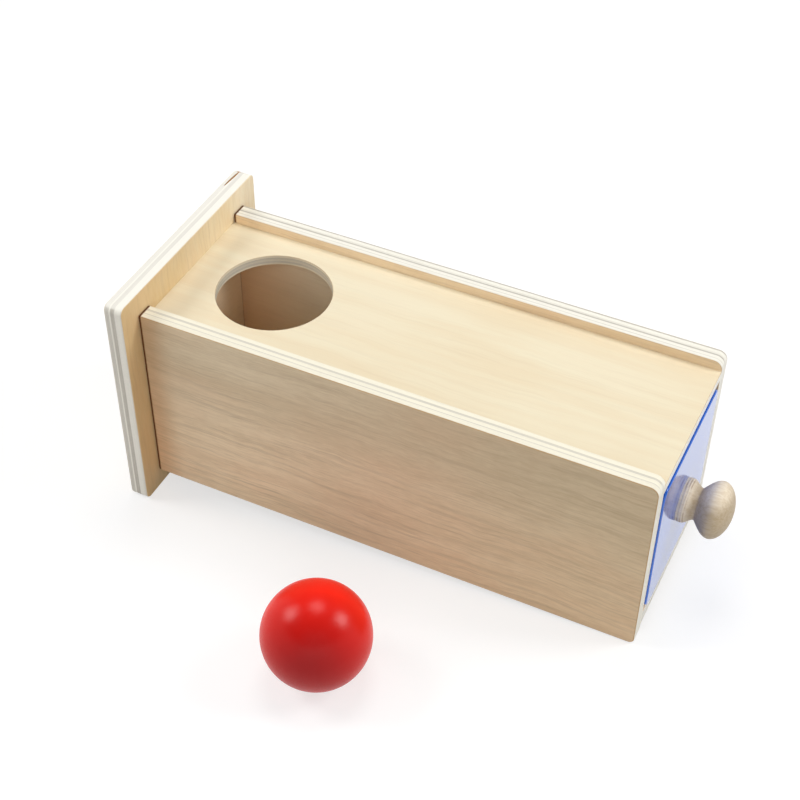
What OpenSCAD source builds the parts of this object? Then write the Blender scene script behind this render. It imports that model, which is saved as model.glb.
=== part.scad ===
// Object permanence box: a long plywood box on a square back plate, with a round hole
// in its top, a drawer with a turned knob in its front, and a loose wooden ball.
// Millimetres. X runs along the box from the plate to the knob, Z is up.
// The origin is the middle of the plate's lower edge.

/* [Back plate] */
// Width of the back plate
plate_w = 108.5; // [100:0.5:140]
// Height of the back plate
plate_h = 110.5; // [105:0.5:140]
// Thickness of the back plate
plate_t = 8.6; // [7:0.1:12]
// Radius of the back plate's corners
plate_corner_r = 3; // [2:0.5:15]

/* [Box] */
// Length of the side panels, from the plate to the front
body_len = 226.4; // [150:0.1:300]
// Width of the box over its side panels
body_w = 86.4; // [80:0.1:96]
// Height of the side panels
side_h = 90.6; // [84:0.1:94]
// Thickness of the side panels
side_t = 8; // [7:0.5:10]
// Height of the side panels' lower edges above the plate's lower edge
side_lift = 9.5; // [4:0.5:12]
// Radius of the side panels' upper front corners
side_top_r = 4; // [1:0.5:12]
// Radius of the side panels' lower front corners
side_bottom_r = 2.5; // [1:0.5:8]
// Thickness of the top panel
top_t = 5; // [3:0.5:7]
// Thickness of the bottom panel
bottom_t = 8; // [7:0.5:10]
// How far the top and bottom panels lie inside the side panels' edges
panel_recess = 4.4; // [2:0.1:6]
// Depth of the side panels' grooves for the top panel
groove_depth = 3; // [2:0.5:4]
// Length of the side panels' front end that the groove leaves whole
groove_stop = 8; // [4:1:20]
// How far the boards' edges are eased
edge_break = 0.6; // [0.2:0.1:1]

/* [Ball hole] */
// Diameter of the hole in the top panel
hole_d = 50; // [30:1:56]
// Distance of the hole's axis from the plate's front face
hole_from_plate = 40; // [34:1:90]
// How far the hole's edges are eased
hole_edge = 0.3; // [0.1:0.1:0.8]

/* [Drawer] */
// Thickness of the drawer's front
front_t = 8; // [6:0.5:12]
// How far the drawer's front stands out of the box
front_proud = 0.7; // [0:0.1:3]
// Radius of the drawer front's corners
front_corner_r = 4.5; // [2:0.5:10]
// How far the drawer front's edges are rounded
front_edge = 0.8; // [0.3:0.1:1.2]
// Gap above and below the drawer's front
front_gap = 0.8; // [0.4:0.1:2]
// Thickness of the drawer's side walls and back
wall_t = 5; // [4:0.5:7]
// Gap between the drawer's walls and the top panel
wall_gap = 2.7; // [1:0.1:30]
// Mean gap on each side of the drawer
side_gap = 1.1; // [0.3:0.1:1.5]
// Share of that gap by which the drawer sits nearer to the left side panel
drawer_off_share = 0.7; // [0:0.05:0.8]
// Gap between the drawer's walls and the bottom panel that they run on
runner_gap = 0.3; // [0.2:0.1:0.5]
// Gap between the drawer's back and the plate
back_gap = 0.8; // [0.3:0.1:5]
// Thickness left in front of the rabbets that hold the side walls' front ends
lip_t = 3; // [2:0.5:4]
// Thickness of the drawer's floor
floor_t = 3; // [2:0.5:4]
// Height of the drawer's floor above its walls' lower edges
floor_lift = 3; // [2:0.5:6]
// Depth of the grooves that hold the drawer's floor
floor_groove = 2.5; // [1.5:0.5:3]

/* [Knob] */
// Diameter of the knob's foot on the drawer front
knob_foot_d = 18.6; // [14:0.1:24]
// Largest diameter of the knob's bead, just outside its foot
knob_bead_d = 19; // [15:0.1:26]
// Diameter of the knob's neck
knob_neck_d = 13.6; // [10:0.1:14.4]
// Diameter of the knob's head
knob_head_d = 24.4; // [20:0.1:34]
// Distance of the bead's widest place from the drawer front
knob_bead_x = 2; // [1.2:0.1:2.8]
// Distance of the neck from the drawer front
knob_neck_x = 7; // [6:0.1:9]
// Distance of the head's widest place from the drawer front
knob_head_x = 14.1; // [12:0.1:17]
// Length of the knob
knob_len = 21.3; // [20:0.1:32]
// How far the knob sits below the middle of the drawer front
knob_drop = 0.5; // [0:0.1:4]

/* [Ball] */
// Diameter of the ball
ball_d = 45; // [25:1:48]
// Distance of the ball from the plate's middle, along the box
ball_x = 119.5; // [40:0.5:220]
// Distance of the ball's middle from the side panel that it lies beside
ball_clear = 64.7; // [40:0.1:160]

/* [Dowels and brads] */
// Diameter of the dowels
dowel_d = 5; // [3:0.5:5.5]
// Length of the dowels
dowel_len = 20; // [16:1:26]
// How far a dowel reaches into the face of a board
dowel_in_face = 5; // [3:0.5:5]
// Length left free past each end of a dowel, brad or screw
end_gap = 0.5; // [0.2:0.1:1]
// Distance of the plate's dowels from the side panels' lower and upper edges
dowel_inset = 20; // [16:1:28]
// Distance of the bottom panel's end dowels from its middle
dowel_spread = 16; // [8:1:24]
// Distance of the first and last bottom dowels from the bottom panel's ends
dowel_margin = 30; // [22:1:60]
// Number of dowels along each edge of the bottom panel
dowel_count = 3; // [2:1:6]
// Diameter of the drawer's brads
brad_d = 1.2; // [0.8:0.1:1.6]
// Length of the drawer's brads
brad_len = 15; // [12:1:18]
// Distance of the lowest and highest brads from the drawer walls' edges
brad_inset = 11; // [8:0.5:14]
// Number of brads along each end of a drawer wall
brad_count = 3; // [2:1:4]
// Radial gap around dowels, brads and the knob's screw
fit_gap = 0.05; // [0.02:0.01:0.1]

/* [Knob screw] */
// Diameter of the knob screw's shank
screw_d = 4; // [3:0.5:5]
// How far the screw reaches into the knob
screw_in_knob = 13; // [8:0.5:16]
// Length of the screw's pointed end
screw_tip = 3; // [1:0.5:5]
// Diameter of the screw's head
screw_head_d = 7.6; // [6.5:0.1:9]
// Height of the screw's head
screw_head_h = 2.4; // [1.6:0.1:3]
// Length of the arms of the cross in the screw's head
cross_len = 4.2; // [3:0.1:5]
// Width of the arms of that cross
cross_w = 0.9; // [0.6:0.1:1.2]
// Depth of that cross
cross_depth = 1.3; // [0.8:0.1:1.4]
// Diameter of the washer
washer_d = 10; // [9:0.5:13]
// Thickness of the washer
washer_t = 1; // [0.6:0.1:1.6]
// Radial gap between the screw and the drawer front's hole
screw_play = 0.3; // [0.1:0.1:0.6]

/* [Hidden] */

// How far a cut runs past the face that it goes through
over = 1;
// Sides of round bores and turned pieces
round_fn = 96;
// Steps of each rounded corner of a board
corner_steps = 8;
// Steps of each curve of the knob's profile
knob_steps = 12;

// The box
body_x = plate_t / 2;
body_front = body_x + body_len;
side_y = body_w / 2 - side_t;
side_top = side_lift + side_h;
opening_w = 2 * side_y;
top_z = side_top - panel_recess - top_t;
bottom_z = side_lift + panel_recess;
opening_z = bottom_z + bottom_t;
opening_h = top_z - opening_z;
groove_w = top_t + 2 * fit_gap;
groove_len = body_len - groove_stop;
tongue = groove_depth - fit_gap;
hole_x = body_x + hole_from_plate;

// The drawer
front_x = body_front + front_proud;
front_back_x = front_x - front_t;
front_w = opening_w - 2 * side_gap;
front_z = opening_z + front_gap;
front_h = opening_h - 2 * front_gap;
wall_x = body_x + back_gap;
wall_end_x = front_x - lip_t;
wall_z = opening_z + runner_gap;
wall_h = top_z - wall_gap - wall_z;
wall_y = front_w / 2 - wall_t;
drawer_off = drawer_off_share * side_gap;
floor_z = wall_z + floor_lift;
floor_in = floor_groove - fit_gap;

// The knob and its screw
knob_z = front_z + front_h / 2 - knob_drop;
washer_x = front_back_x - washer_t;
screw_tip_x = front_x + screw_in_knob;
knob_bore_end_x = screw_tip_x + end_gap;

// Dowels, each as the place of its middle between the two boards that it joins
dowel_in_edge = dowel_len - dowel_in_face;
plate_dowel_places = concat(
    [for (s = [-1, 1], z = [side_lift + dowel_inset, side_top - dowel_inset])
        [s * (side_y + side_t / 2), z]],
    [for (s = [-1, 1]) [s * dowel_spread, bottom_z + bottom_t / 2]]);
dowel_pitch = (body_len - 2 * dowel_margin) / (dowel_count - 1);
bottom_dowel_xs = [for (k = [0:dowel_count - 1]) body_x + dowel_margin + k * dowel_pitch];

// Brads, at each end of the drawer's walls
brad_pitch = (wall_h - 2 * brad_inset) / (brad_count - 1);
brad_zs = [for (k = [0:brad_count - 1]) wall_z + brad_inset + k * brad_pitch];
brad_xs = [wall_x + wall_t / 2, (front_back_x + wall_end_x) / 2];

// The table that the box leans down to: it passes under the plate's front edge and
// under the round lower front corners of the side panels
rest_x = plate_t / 2 - edge_break;
rest_dx = body_front - side_bottom_r - rest_x;
rest_dz = side_lift + side_bottom_r;
rest_angle = atan2(rest_dz, rest_dx) - asin(side_bottom_r / norm([rest_dx, rest_dz]));
ball_y = -body_w / 2 - ball_clear;
ball_z = (ball_x - rest_x) * tan(rest_angle) + ball_d / 2 / cos(rest_angle);

// Corner points of a rectangle whose corners are arcs, all drawn in by one inset.
// The radii run from the low corner round by the far end of the first side.
function rounded_points(size, radii, inset) =
    let (corner = [[radii[0], radii[0]], [size[0] - radii[1], radii[1]],
                   [size[0] - radii[2], size[1] - radii[2]], [radii[3], size[1] - radii[3]]])
    [for (c = [0:3], k = [0:corner_steps])
        let (a = 180 + 90 * c + 90 * k / corner_steps)
        corner[c] + (radii[c] - inset) * [cos(a), sin(a)]];

// A board lying flat on its low corner, with all its edges eased
module soft_board(size, t, radii, edge) {
    hull() {
        linear_extrude(t)
            polygon(rounded_points(size, radii, edge));
        translate([0, 0, edge])
            linear_extrude(t - 2 * edge)
                polygon(rounded_points(size, radii, 0));
    }
}

// A cylinder along X, from its low end
module rod_x(d, len) {
    rotate([0, 90, 0])
        cylinder(d = d, h = len, $fn = round_fn);
}

// A cylinder along Y, from its low end
module rod_y(d, len) {
    rotate([-90, 0, 0])
        cylinder(d = d, h = len, $fn = round_fn);
}

// The drawer's pieces are drawn about its own middle, which sits a little off the box's
module in_drawer() {
    translate([0, -drawer_off, 0])
        children();
}

// The plate's dowels, each grown by a gap all round and a spare length at its ends
module plate_dowel_set(gap, spare) {
    for (p = plate_dowel_places)
        translate([body_x - dowel_in_face - spare, p[0], p[1]])
            rod_x(dowel_d + 2 * gap, dowel_len + 2 * spare);
}

// The bottom panel's dowels, grown in the same way
module bottom_dowel_set(gap, spare) {
    for (x = bottom_dowel_xs, s = [0, 1])
        mirror([0, s, 0])
            translate([x, side_y - dowel_in_edge - spare, bottom_z + bottom_t / 2])
                rod_y(dowel_d + 2 * gap, dowel_len + 2 * spare);
}

// The drawer's brads, grown in the same way
module brad_set(gap, spare) {
    for (x = brad_xs, z = brad_zs, s = [0, 1])
        mirror([0, s, 0])
            translate([x, front_w / 2 - brad_len - spare, z])
                rod_y(brad_d + 2 * gap, brad_len + 2 * spare);
}

module back_plate() {
    color("burlywood")
        difference() {
            translate([-plate_t / 2, -plate_w / 2, 0])
                rotate([90, 0, 90])
                    soft_board([plate_w, plate_h], plate_t,
                               [for (k = [0:3]) plate_corner_r], edge_break);
            plate_dowel_set(fit_gap, end_gap);
        }
}

// The side panel on the +Y side; the other one is its mirror image
module side_panel() {
    color("wheat")
        difference() {
            translate([body_x, body_w / 2, side_lift])
                rotate([90, 0, 0])
                    soft_board([body_len, side_h], side_t,
                               [edge_break, side_bottom_r, side_top_r, edge_break], edge_break);
            translate([body_x - over, side_y - over, top_z - fit_gap])
                cube([groove_len + over, groove_depth + over, groove_w]);
            plate_dowel_set(fit_gap, end_gap);
            bottom_dowel_set(fit_gap, end_gap);
        }
}

module right_side_panel() {
    side_panel();
}

module left_side_panel() {
    mirror([0, 1, 0])
        side_panel();
}

module top_panel() {
    color("moccasin")
        difference() {
            union() {
                translate([body_x, -side_y, top_z])
                    cube([body_len, opening_w, top_t]);
                translate([body_x, -side_y - tongue, top_z])
                    cube([groove_len - fit_gap, opening_w + 2 * tongue, top_t]);
            }
            translate([hole_x, 0, top_z])
                ball_hole();
        }
}

// The hole's cut through the top panel, with both its edges eased
module ball_hole() {
    r = hole_d / 2;
    rotate_extrude($fn = round_fn)
        polygon([[0, -over], [r + hole_edge + over, -over], [r + hole_edge, 0],
                 [r, hole_edge], [r, top_t - hole_edge], [r + hole_edge, top_t],
                 [r + hole_edge + over, top_t + over], [0, top_t + over]]);
}

module bottom_panel() {
    color("wheat")
        difference() {
            translate([body_x, -side_y, bottom_z])
                cube([body_len, opening_w, bottom_t]);
            plate_dowel_set(fit_gap, end_gap);
            bottom_dowel_set(fit_gap, end_gap);
        }
}

module plate_dowels() {
    color("tan")
        plate_dowel_set(0, 0);
}

module bottom_dowels() {
    color("tan")
        bottom_dowel_set(0, 0);
}

// The space that the drawer's floor takes up, grown by a gap all round
module floor_board(gap) {
    translate([wall_x + wall_t - floor_in - gap, -wall_y - floor_in - gap, floor_z - gap])
        cube([front_back_x - wall_x - wall_t + 2 * (floor_in + gap),
              2 * (wall_y + floor_in + gap), floor_t + 2 * gap]);
}

module drawer_front() {
    color("royalblue")
        difference() {
            translate([front_back_x, -front_w / 2, front_z])
                rotate([90, 0, 90])
                    soft_board([front_w, front_h], front_t,
                               [for (k = [0:3]) front_corner_r], front_edge);
            for (s = [0, 1])
                mirror([0, s, 0])
                    translate([front_back_x - over, wall_y, front_z - over])
                        cube([front_t - lip_t + over, wall_t + over, front_h + 2 * over]);
            floor_board(fit_gap);
            brad_set(fit_gap, end_gap);
            translate([front_back_x - over, 0, knob_z])
                rod_x(screw_d + 2 * screw_play, front_t + 2 * over);
        }
}

// The drawer's side wall on the +Y side; the other one is its mirror image
module drawer_side() {
    color("wheat")
        difference() {
            translate([wall_x, wall_y, wall_z])
                cube([wall_end_x - wall_x, wall_t, wall_h]);
            floor_board(fit_gap);
            brad_set(fit_gap, end_gap);
        }
}

module drawer_right_side() {
    drawer_side();
}

module drawer_left_side() {
    mirror([0, 1, 0])
        drawer_side();
}

module drawer_back() {
    color("wheat")
        difference() {
            translate([wall_x, -wall_y, wall_z])
                cube([wall_t, 2 * wall_y, wall_h]);
            floor_board(fit_gap);
            brad_set(fit_gap, end_gap);
        }
}

module drawer_bottom() {
    color("moccasin")
        floor_board(0);
}

module drawer_brads() {
    color("silver")
        brad_set(0, 0);
}

// The turned profile of the knob: distance from the drawer front, and radius.
// The foot swells to a bead, falls to the neck, and rises to the domed head.
knob_profile = concat(
    [[0, knob_foot_d / 2]],
    [for (k = [0:knob_steps])
        let (fall = (1 - cos(180 * k / knob_steps)) / 2)
        [knob_bead_x + (knob_neck_x - knob_bead_x) * k / knob_steps,
         knob_bead_d / 2 + (knob_neck_d - knob_bead_d) / 2 * fall]],
    [for (k = [1:knob_steps])
        [knob_neck_x + (knob_head_x - knob_neck_x) * k / knob_steps,
         knob_neck_d / 2 + (knob_head_d - knob_neck_d) / 2 * sin(90 * k / knob_steps)]],
    [for (k = [1:knob_steps])
        [knob_head_x + (knob_len - knob_head_x) * sin(90 * k / knob_steps),
         knob_head_d / 2 * cos(90 * k / knob_steps)]]);

module drawer_knob() {
    color("tan")
        difference() {
            translate([front_x, 0, knob_z])
                rotate([0, 90, 0])
                    rotate_extrude($fn = round_fn)
                        polygon(concat([[0, 0]], [for (p = knob_profile) [p[1], p[0]]]));
            translate([front_x - over, 0, knob_z])
                rod_x(screw_d + 2 * fit_gap, knob_bore_end_x - front_x + over);
        }
}

module knob_screw() {
    color("silver")
        translate([0, 0, knob_z])
            difference() {
                union() {
                    translate([washer_x - screw_head_h, 0, 0])
                        rod_x(screw_head_d, screw_head_h);
                    translate([washer_x - fit_gap, 0, 0])
                        rod_x(screw_d, screw_tip_x - screw_tip - washer_x + fit_gap);
                    translate([screw_tip_x - screw_tip, 0, 0])
                        rotate([0, 90, 0])
                            cylinder(d1 = screw_d, d2 = 0, h = screw_tip, $fn = round_fn);
                }
                for (a = [0, 90])
                    translate([washer_x - screw_head_h - over, 0, 0])
                        rotate([a, 0, 0])
                            translate([0, -cross_len / 2, -cross_w / 2])
                                cube([cross_depth + over, cross_len, cross_w]);
            }
}

module knob_washer() {
    color("silver")
        translate([washer_x, 0, knob_z])
            difference() {
                rod_x(washer_d, washer_t);
                translate([-over, 0, 0])
                    rod_x(screw_d + 2 * screw_play, washer_t + 2 * over);
            }
}

module ball() {
    color("red")
        translate([ball_x, ball_y, ball_z])
            sphere(d = ball_d, $fn = round_fn);
}

back_plate();
left_side_panel();
right_side_panel();
top_panel();
bottom_panel();
plate_dowels();
bottom_dowels();
in_drawer() drawer_front();
in_drawer() drawer_left_side();
in_drawer() drawer_right_side();
in_drawer() drawer_back();
in_drawer() drawer_bottom();
in_drawer() drawer_brads();
in_drawer() drawer_knob();
in_drawer() knob_screw();
in_drawer() knob_washer();
ball();
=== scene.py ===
"""Ball box: a long plywood box on a square back plate, with a round hole in its top,
a painted drawer with a turned knob, and a red ball."""

import math

import bmesh
import bpy
from bpy.props import FloatProperty, FloatVectorProperty, IntProperty, PointerProperty
from mathutils import Matrix, Vector


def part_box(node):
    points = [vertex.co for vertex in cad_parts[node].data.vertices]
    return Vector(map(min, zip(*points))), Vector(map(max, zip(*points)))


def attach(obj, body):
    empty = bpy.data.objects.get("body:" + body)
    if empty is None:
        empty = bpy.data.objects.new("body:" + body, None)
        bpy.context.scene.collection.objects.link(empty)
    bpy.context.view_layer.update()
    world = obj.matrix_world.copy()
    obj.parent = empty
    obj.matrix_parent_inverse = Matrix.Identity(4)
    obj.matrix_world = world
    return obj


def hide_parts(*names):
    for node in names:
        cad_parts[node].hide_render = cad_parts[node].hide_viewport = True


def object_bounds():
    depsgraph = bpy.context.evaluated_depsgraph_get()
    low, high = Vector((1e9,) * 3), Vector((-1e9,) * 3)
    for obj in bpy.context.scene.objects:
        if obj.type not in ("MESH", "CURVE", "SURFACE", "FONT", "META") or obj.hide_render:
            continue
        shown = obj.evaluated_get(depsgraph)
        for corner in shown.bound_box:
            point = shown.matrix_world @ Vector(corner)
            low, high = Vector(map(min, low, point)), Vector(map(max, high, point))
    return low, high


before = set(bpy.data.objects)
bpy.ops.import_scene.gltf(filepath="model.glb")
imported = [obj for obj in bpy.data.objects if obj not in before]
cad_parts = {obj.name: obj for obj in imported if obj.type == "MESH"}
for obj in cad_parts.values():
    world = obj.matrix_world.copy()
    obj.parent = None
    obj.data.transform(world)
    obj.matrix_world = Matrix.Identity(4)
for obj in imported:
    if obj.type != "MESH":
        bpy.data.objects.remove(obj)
cad_low, cad_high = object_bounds()

bl_info = {
    "name": "Ball Box",
    "version": (1, 0, 0),
    "blender": (4, 5, 0),
    "location": "3D View > Sidebar > Ball Box",
    "description": "A plywood ball box with a painted drawer, a turned knob and a red ball",
    "category": "Object",
}

MM = 0.001
X, Y, Z = 0, 1, 2
AXES = (Vector((1, 0, 0)), Vector((0, 1, 0)), Vector((0, 0, 1)))

# Points closer together than this are one point
WELD = 0.001 * MM
# Cuts run this far past a board's faces
OVERRUN = MM
# Notches in the top panel reach this far out from the side panels' inner faces
NOTCH_REACH = 9 * MM
# Edges that turn more than this are eased, and edges over the second angle stay crisp
EASED_ANGLE = math.radians(50)
CRISP_ANGLE = math.radians(40)
# An edge runs along an axis when the cosine between them is over this
PARALLEL = 0.999
# Steps round the ball hole, round and down the void in the plate's ply, and splits of the ball
HOLE_STEPS = 144
VOID_SEGMENTS, VOID_RINGS = 24, 16
BALL_SPLITS = 6
# The void runs at this angle to the plate
VOID_ANGLE = math.radians(-3.3)
# The drawer front's hole for the knob's screw has this many glue gaps of play
SCREW_PLAY = 6

# White, which as a tint changes nothing
WHITE = (1, 1, 1)
# Plies run into each other over this share of a board's thickness, to each side
PLY_EDGE = 0.012
# Grain lines wander across a board, slowly and fast, and plies drift through it
WANDER, RIPPLE, PLY_DRIFT = 6 * MM, 1.6 * MM, 0.7 * MM
# Cut edges get a painted highlight, turning pale between these distances from the grain's ends
PALE_START, PALE_END = 1.2 * MM, 0.5 * MM
# Plies give way to veneer between these depths, and its painted brown shade to its own tone between the
# next
VENEER_START, VENEER_END = 0.35 * MM, 0.20 * MM
BROWN_START, BROWN_END = 0.10 * MM, 0.02 * MM
# The void's shade fades between these distances from its middle, and these below its mouth
VOID_START, VOID_END = 0.9 * MM, 1.1 * MM
MOUTH_START, MOUTH_END = 0.20 * MM, 0.05 * MM
# Shade reaches this far from a joint: at the plate, behind the drawer's front and at its back
PLATE_SHADE, FRONT_SHADE, BACK_SHADE = 1.4 * MM, 0.9 * MM, 0.4 * MM
# The near panel's painted shade beside the plate fades between these distances from the plate
TINT_START, TINT_END = 3 * MM, 16 * MM
# The painted shade on the drawer's walls fades over this distance from its back
DRAWER_TINT = 60 * MM
# The knob's painted shade sets in between these distances from the drawer's front
KNOB_TINT_START, KNOB_TINT_END = 2.5 * MM, 6 * MM
# It fades out from this far above the knob's middle, leaving the head darker low down
KNOB_TINT_HEIGHT = 6 * MM
# The ball's lacquer keeps its own colour on the side that faces this way, and darkens with painted shade
# towards the other side
LIT_SIDE = Vector((-0.36, 0.90, -0.24))

# Directions from the box to its lamps
LEFT_LAMP = Vector((-0.758, -0.15, 0.64))
BACK_LAMP = Vector((-0.113, 0.27, 0.955))
RIGHT_LAMP = Vector((0.678, 0.36, 0.64))
FRONT_LAMP = Vector((0.40, -0.80, 0.45))
# The floor's glow rises to white between these distances from the plate
GLOW_START, GLOW_END = 0.8, 2.5
# The room's light falls from its horizon's to its sky's between these heights of a direction
SKY_START, SKY_END = 0.05, 0.30
# Seen directly, the room is white below the first of these heights, and as it is above the second
WHITE_END, ROOM_START = 0.35, 0.55
# Width of the camera's sensor in millimetres, and the nearest and farthest that it sees
SENSOR_WIDTH = 36.0
NEAREST, FARTHEST = 0.01, 50.0

# Plies of each board, from its low face to its high one: where each ends, and how pale it is
PLATE_PLIES = ((0.28, 0.45), (0.36, 1.0), (0.58, 0.15), (0.92, 0.95), (1.0, 0.6))
NEAR_PLIES = ((0.06, 0.7), (0.30, 0.9), (0.35, 0.45), (0.56, 0.95), (0.70, 0.42), (1.0, 1.0))
FAR_PLIES = ((0.10, 0.75), (0.22, 1.0), (0.28, 0.6), (0.46, 1.0), (0.55, 0.05), (0.66, 0.75),
             (0.86, 1.0), (0.94, 0.0), (1.0, 0.8))
TOP_PLIES = ((0.20, 0.85), (0.42, 0.35), (0.54, 0.6), (0.74, 0.35), (1.0, 0.9))
THIN_PLIES = ((0.2, 0.85), (0.4, 0.35), (0.6, 0.85), (0.8, 0.4), (1.0, 0.85))
FLOOR_PLIES = ((0.33, 0.85), (0.67, 0.35), (1.0, 0.85))


def length(name, description, default, high=0.1):
    """A length that the user can change"""
    return FloatProperty(name=name, description=description, default=default,
                         min=0.0, max=high, precision=5, unit="LENGTH")


def tone(name, description, default):
    """A colour that the user can change"""
    return FloatVectorProperty(name=name, description=description, default=default,
                               size=3, min=0.0, max=1.0, subtype="COLOR")


def share(name, description, default, high=1.0):
    """A plain number that the user can change"""
    return FloatProperty(name=name, description=description, default=default, min=0.0, max=high)


def count(name, description, default, low, high):
    """A number of steps that the user can change"""
    return IntProperty(name=name, description=description, default=default, min=low, max=high)


class BoardSizes(bpy.types.PropertyGroup):
    """Sizes of the boards' edges, corners and joints"""
    ease: length("Eased edge", "Rounding of the box's edges", 0.6 * MM)
    drawer_ease: length("Drawer's eased edge", "Rounding of the drawer walls' edges", 0.3 * MM)
    front_ease: length("Front's eased edge", "Rounding of the drawer front's edges", 0.8 * MM)
    hole_ease: length("Hole's eased edge", "Rounding of the ball hole's edges", 0.35 * MM)
    plate_corner: length("Plate's corner", "Radius of the back plate's corners", 3 * MM)
    upper_corner: length("Upper corner", "Radius of the side panels' upper front corners", 4 * MM)
    lower_corner: length("Lower corner", "Radius of the side panels' lower front corners", 2.5 * MM)
    front_corner: length("Front's corner", "Radius of the drawer front's corners", 4.5 * MM)
    hole_radius: length("Hole's radius", "Radius of the ball hole", 25 * MM)
    hole_place: length("Hole's place", "Distance of the hole from the plate", 40 * MM)
    groove_stop: length("Groove's stop", "End of the side panels that the groove leaves whole", 8 * MM)
    glue_gap: length("Glue gap", "Gap round dowels, brads and tongues", 0.05 * MM)
    void_reach: length("Void's reach", "Half length of the void in one of the plate's plies", 7 * MM)
    void_width: length("Void's width", "Half width of that void", 0.5 * MM)
    void_depth: length("Void's depth", "Depth of that void", 0.9 * MM)
    void_place: length("Void's place", "Distance of that void from the plate's middle", 46.6 * MM)
    void_back: length("Void's ply", "Distance of that void behind the plate's middle", 2.1 * MM)
    corner_steps: count("Corner steps", "Steps of a rounded corner", 8, 2, 32)
    ease_steps: count("Edge steps", "Steps of an eased edge", 3, 1, 8)


class KnobSizes(bpy.types.PropertyGroup):
    """Sizes of the knob's turned profile, with places measured from the drawer's front"""
    foot: length("Foot", "Radius of the foot on the drawer's front", 9.3 * MM)
    bead: length("Bead", "Radius of the bead outside the foot", 9.5 * MM)
    bead_place: length("Bead's place", "Distance of the bead's widest place", 2 * MM)
    neck: length("Neck", "Radius of the neck", 6.8 * MM)
    neck_place: length("Neck's place", "Distance of the neck", 7 * MM)
    head: length("Head", "Radius of the head", 12.2 * MM)
    head_place: length("Head's place", "Distance of the head's widest place", 14.1 * MM)
    lines: FloatVectorProperty(
        name="Turned lines", description="Distances of the three fine lines", size=3,
        default=(0.9 * MM, 2.1 * MM, 3.1 * MM), min=0.0, max=0.1, precision=5, unit="LENGTH")
    line_width: length("Line's width", "Half width of a fine turned line", 0.22 * MM)
    line_depth: length("Line's depth", "Depth of a fine turned line", 0.12 * MM)
    steps: count("Curve steps", "Steps of each curve of the profile", 28, 8, 96)
    turns: count("Turning steps", "Steps round the knob", 128, 24, 256)


class Finishes(bpy.types.PropertyGroup):
    """Colours of the wood, paint, lacquer and steel"""
    top_pale: tone("Top, pale", "Pale grain of the top panel", (0.90, 0.81, 0.60))
    top_deep: tone("Top, deep", "Deep grain of the top panel", (0.86, 0.73, 0.51))
    side_pale: tone("Sides, pale", "Pale grain of the side panels", (1.0, 0.80, 0.56))
    side_deep: tone("Sides, deep", "Deep grain of the side panels", (0.86, 0.66, 0.44))
    # Painted light and shade: the near panel darker towards its top, lighter towards its foot and darker
    # beside the plate; both panels darker towards their fronts
    side_top_shade: tone("Sides, upper tint", "Tint of the near panel towards its top", (0.79, 0.83, 0.83))
    side_foot_light: tone("Sides, lower tint", "Tint of the near panel towards its foot", (1.0, 0.97, 0.94))
    side_front_shade: tone("Sides, front tint", "Tint of both panels towards their fronts", (0.86, 0.84, 0.80))
    side_plate_shade: tone("Sides, back tint", "Tint of the near panel beside the plate", (0.80, 0.70, 0.62))
    far_pale: tone("Far side, pale", "Pale grain of the far side panel", (0.93, 0.75, 0.52))
    far_deep: tone("Far side, deep", "Deep grain of the far side panel", (0.85, 0.65, 0.42))
    plate_pale: tone("Plate, pale", "Pale grain of the back plate", (0.98, 0.88, 0.66))
    plate_deep: tone("Plate, deep", "Deep grain of the back plate", (0.90, 0.73, 0.47))
    # Painted shade: the plate darker on the left, beside the near panel, with none on the right
    plate_left_shade: tone("Plate, near tint", "Tint of the plate on the left", (0.80, 0.69, 0.50))
    plate_right_shade: tone("Plate, far tint", "Tint of the plate on the right", (1.0, 1.0, 1.0))
    blush: tone("Blush", "Pinkish clouds in the veneers", (0.96, 0.82, 0.76))
    drawer_pale: tone("Drawer, pale", "Pale grain of the drawer's boards", (1.0, 0.90, 0.70))
    drawer_deep: tone("Drawer, deep", "Deep grain of the drawer's boards", (0.96, 0.83, 0.62))
    # Painted shade: the drawer's side walls darker towards the plate
    drawer_back: tone("Drawer, back tint", "Tint of the drawer's boards towards the plate",
                      (0.88, 0.68, 0.56))
    ply_pale: tone("Ply, pale", "Cut edges of the pale plies", (0.95, 0.92, 0.82))
    ply_warm: tone("Ply, warm", "Cut edges of the near panel's pale plies", (0.95, 0.90, 0.74))
    rim: tone("Hole's rim", "Cut edges of the top panel's pale plies", (0.92, 0.83, 0.64))
    # Painted highlight: plies washed pale on the end edges
    ply_end_highlight: tone("Ply, ends", "Plies at the ends of the grain", (0.98, 0.95, 0.87))
    ply_deep: tone("Ply, deep", "Cut edges of the deep plies", (0.54, 0.50, 0.43))
    grain: tone("Dark grain", "Dark grain lines and pores", (0.44, 0.32, 0.20))
    # Painted shade: a thin brown line along the eased edges, also used inside the plate's void
    brown_shade: tone("Arris", "Veneer browned along the side panels' edges", (0.50, 0.28, 0.11))
    joint: tone("Joint", "Shade in the joints", (0.13, 0.045, 0.010))
    knob_pale: tone("Knob, pale", "Pale grain of the knob", (0.94, 0.82, 0.64))
    knob_deep: tone("Knob, deep", "Deep grain of the knob", (0.82, 0.68, 0.49))
    # Painted shade on the knob's head low down
    knob_painted_shade: tone("Knob, tint", "Tint of the knob's head low down", (0.62, 0.57, 0.50))
    knob_line: tone("Knob's lines", "Fine turned lines near the knob's foot", (0.40, 0.25, 0.14))
    dowel: tone("Dowels", "Beech of the dowels", (0.76, 0.60, 0.40))
    blue: tone("Blue paint", "Paint of the drawer's front", (0.002, 0.130, 0.700))
    red: tone("Red lacquer", "Lacquer of the ball", (1.0, 0.014, 0.003))
    # Painted shade: the ball darker on its near side
    red_shaded_side: tone("Red lacquer, deep", "The lacquer's tone on the ball's near side",
                   (0.420, 0.001, 0.001))
    steel: tone("Steel", "Brads, screw and washer", (0.70, 0.70, 0.72))
    floor: tone("Floor", "Pale floor", (0.45, 0.45, 0.45))


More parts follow.
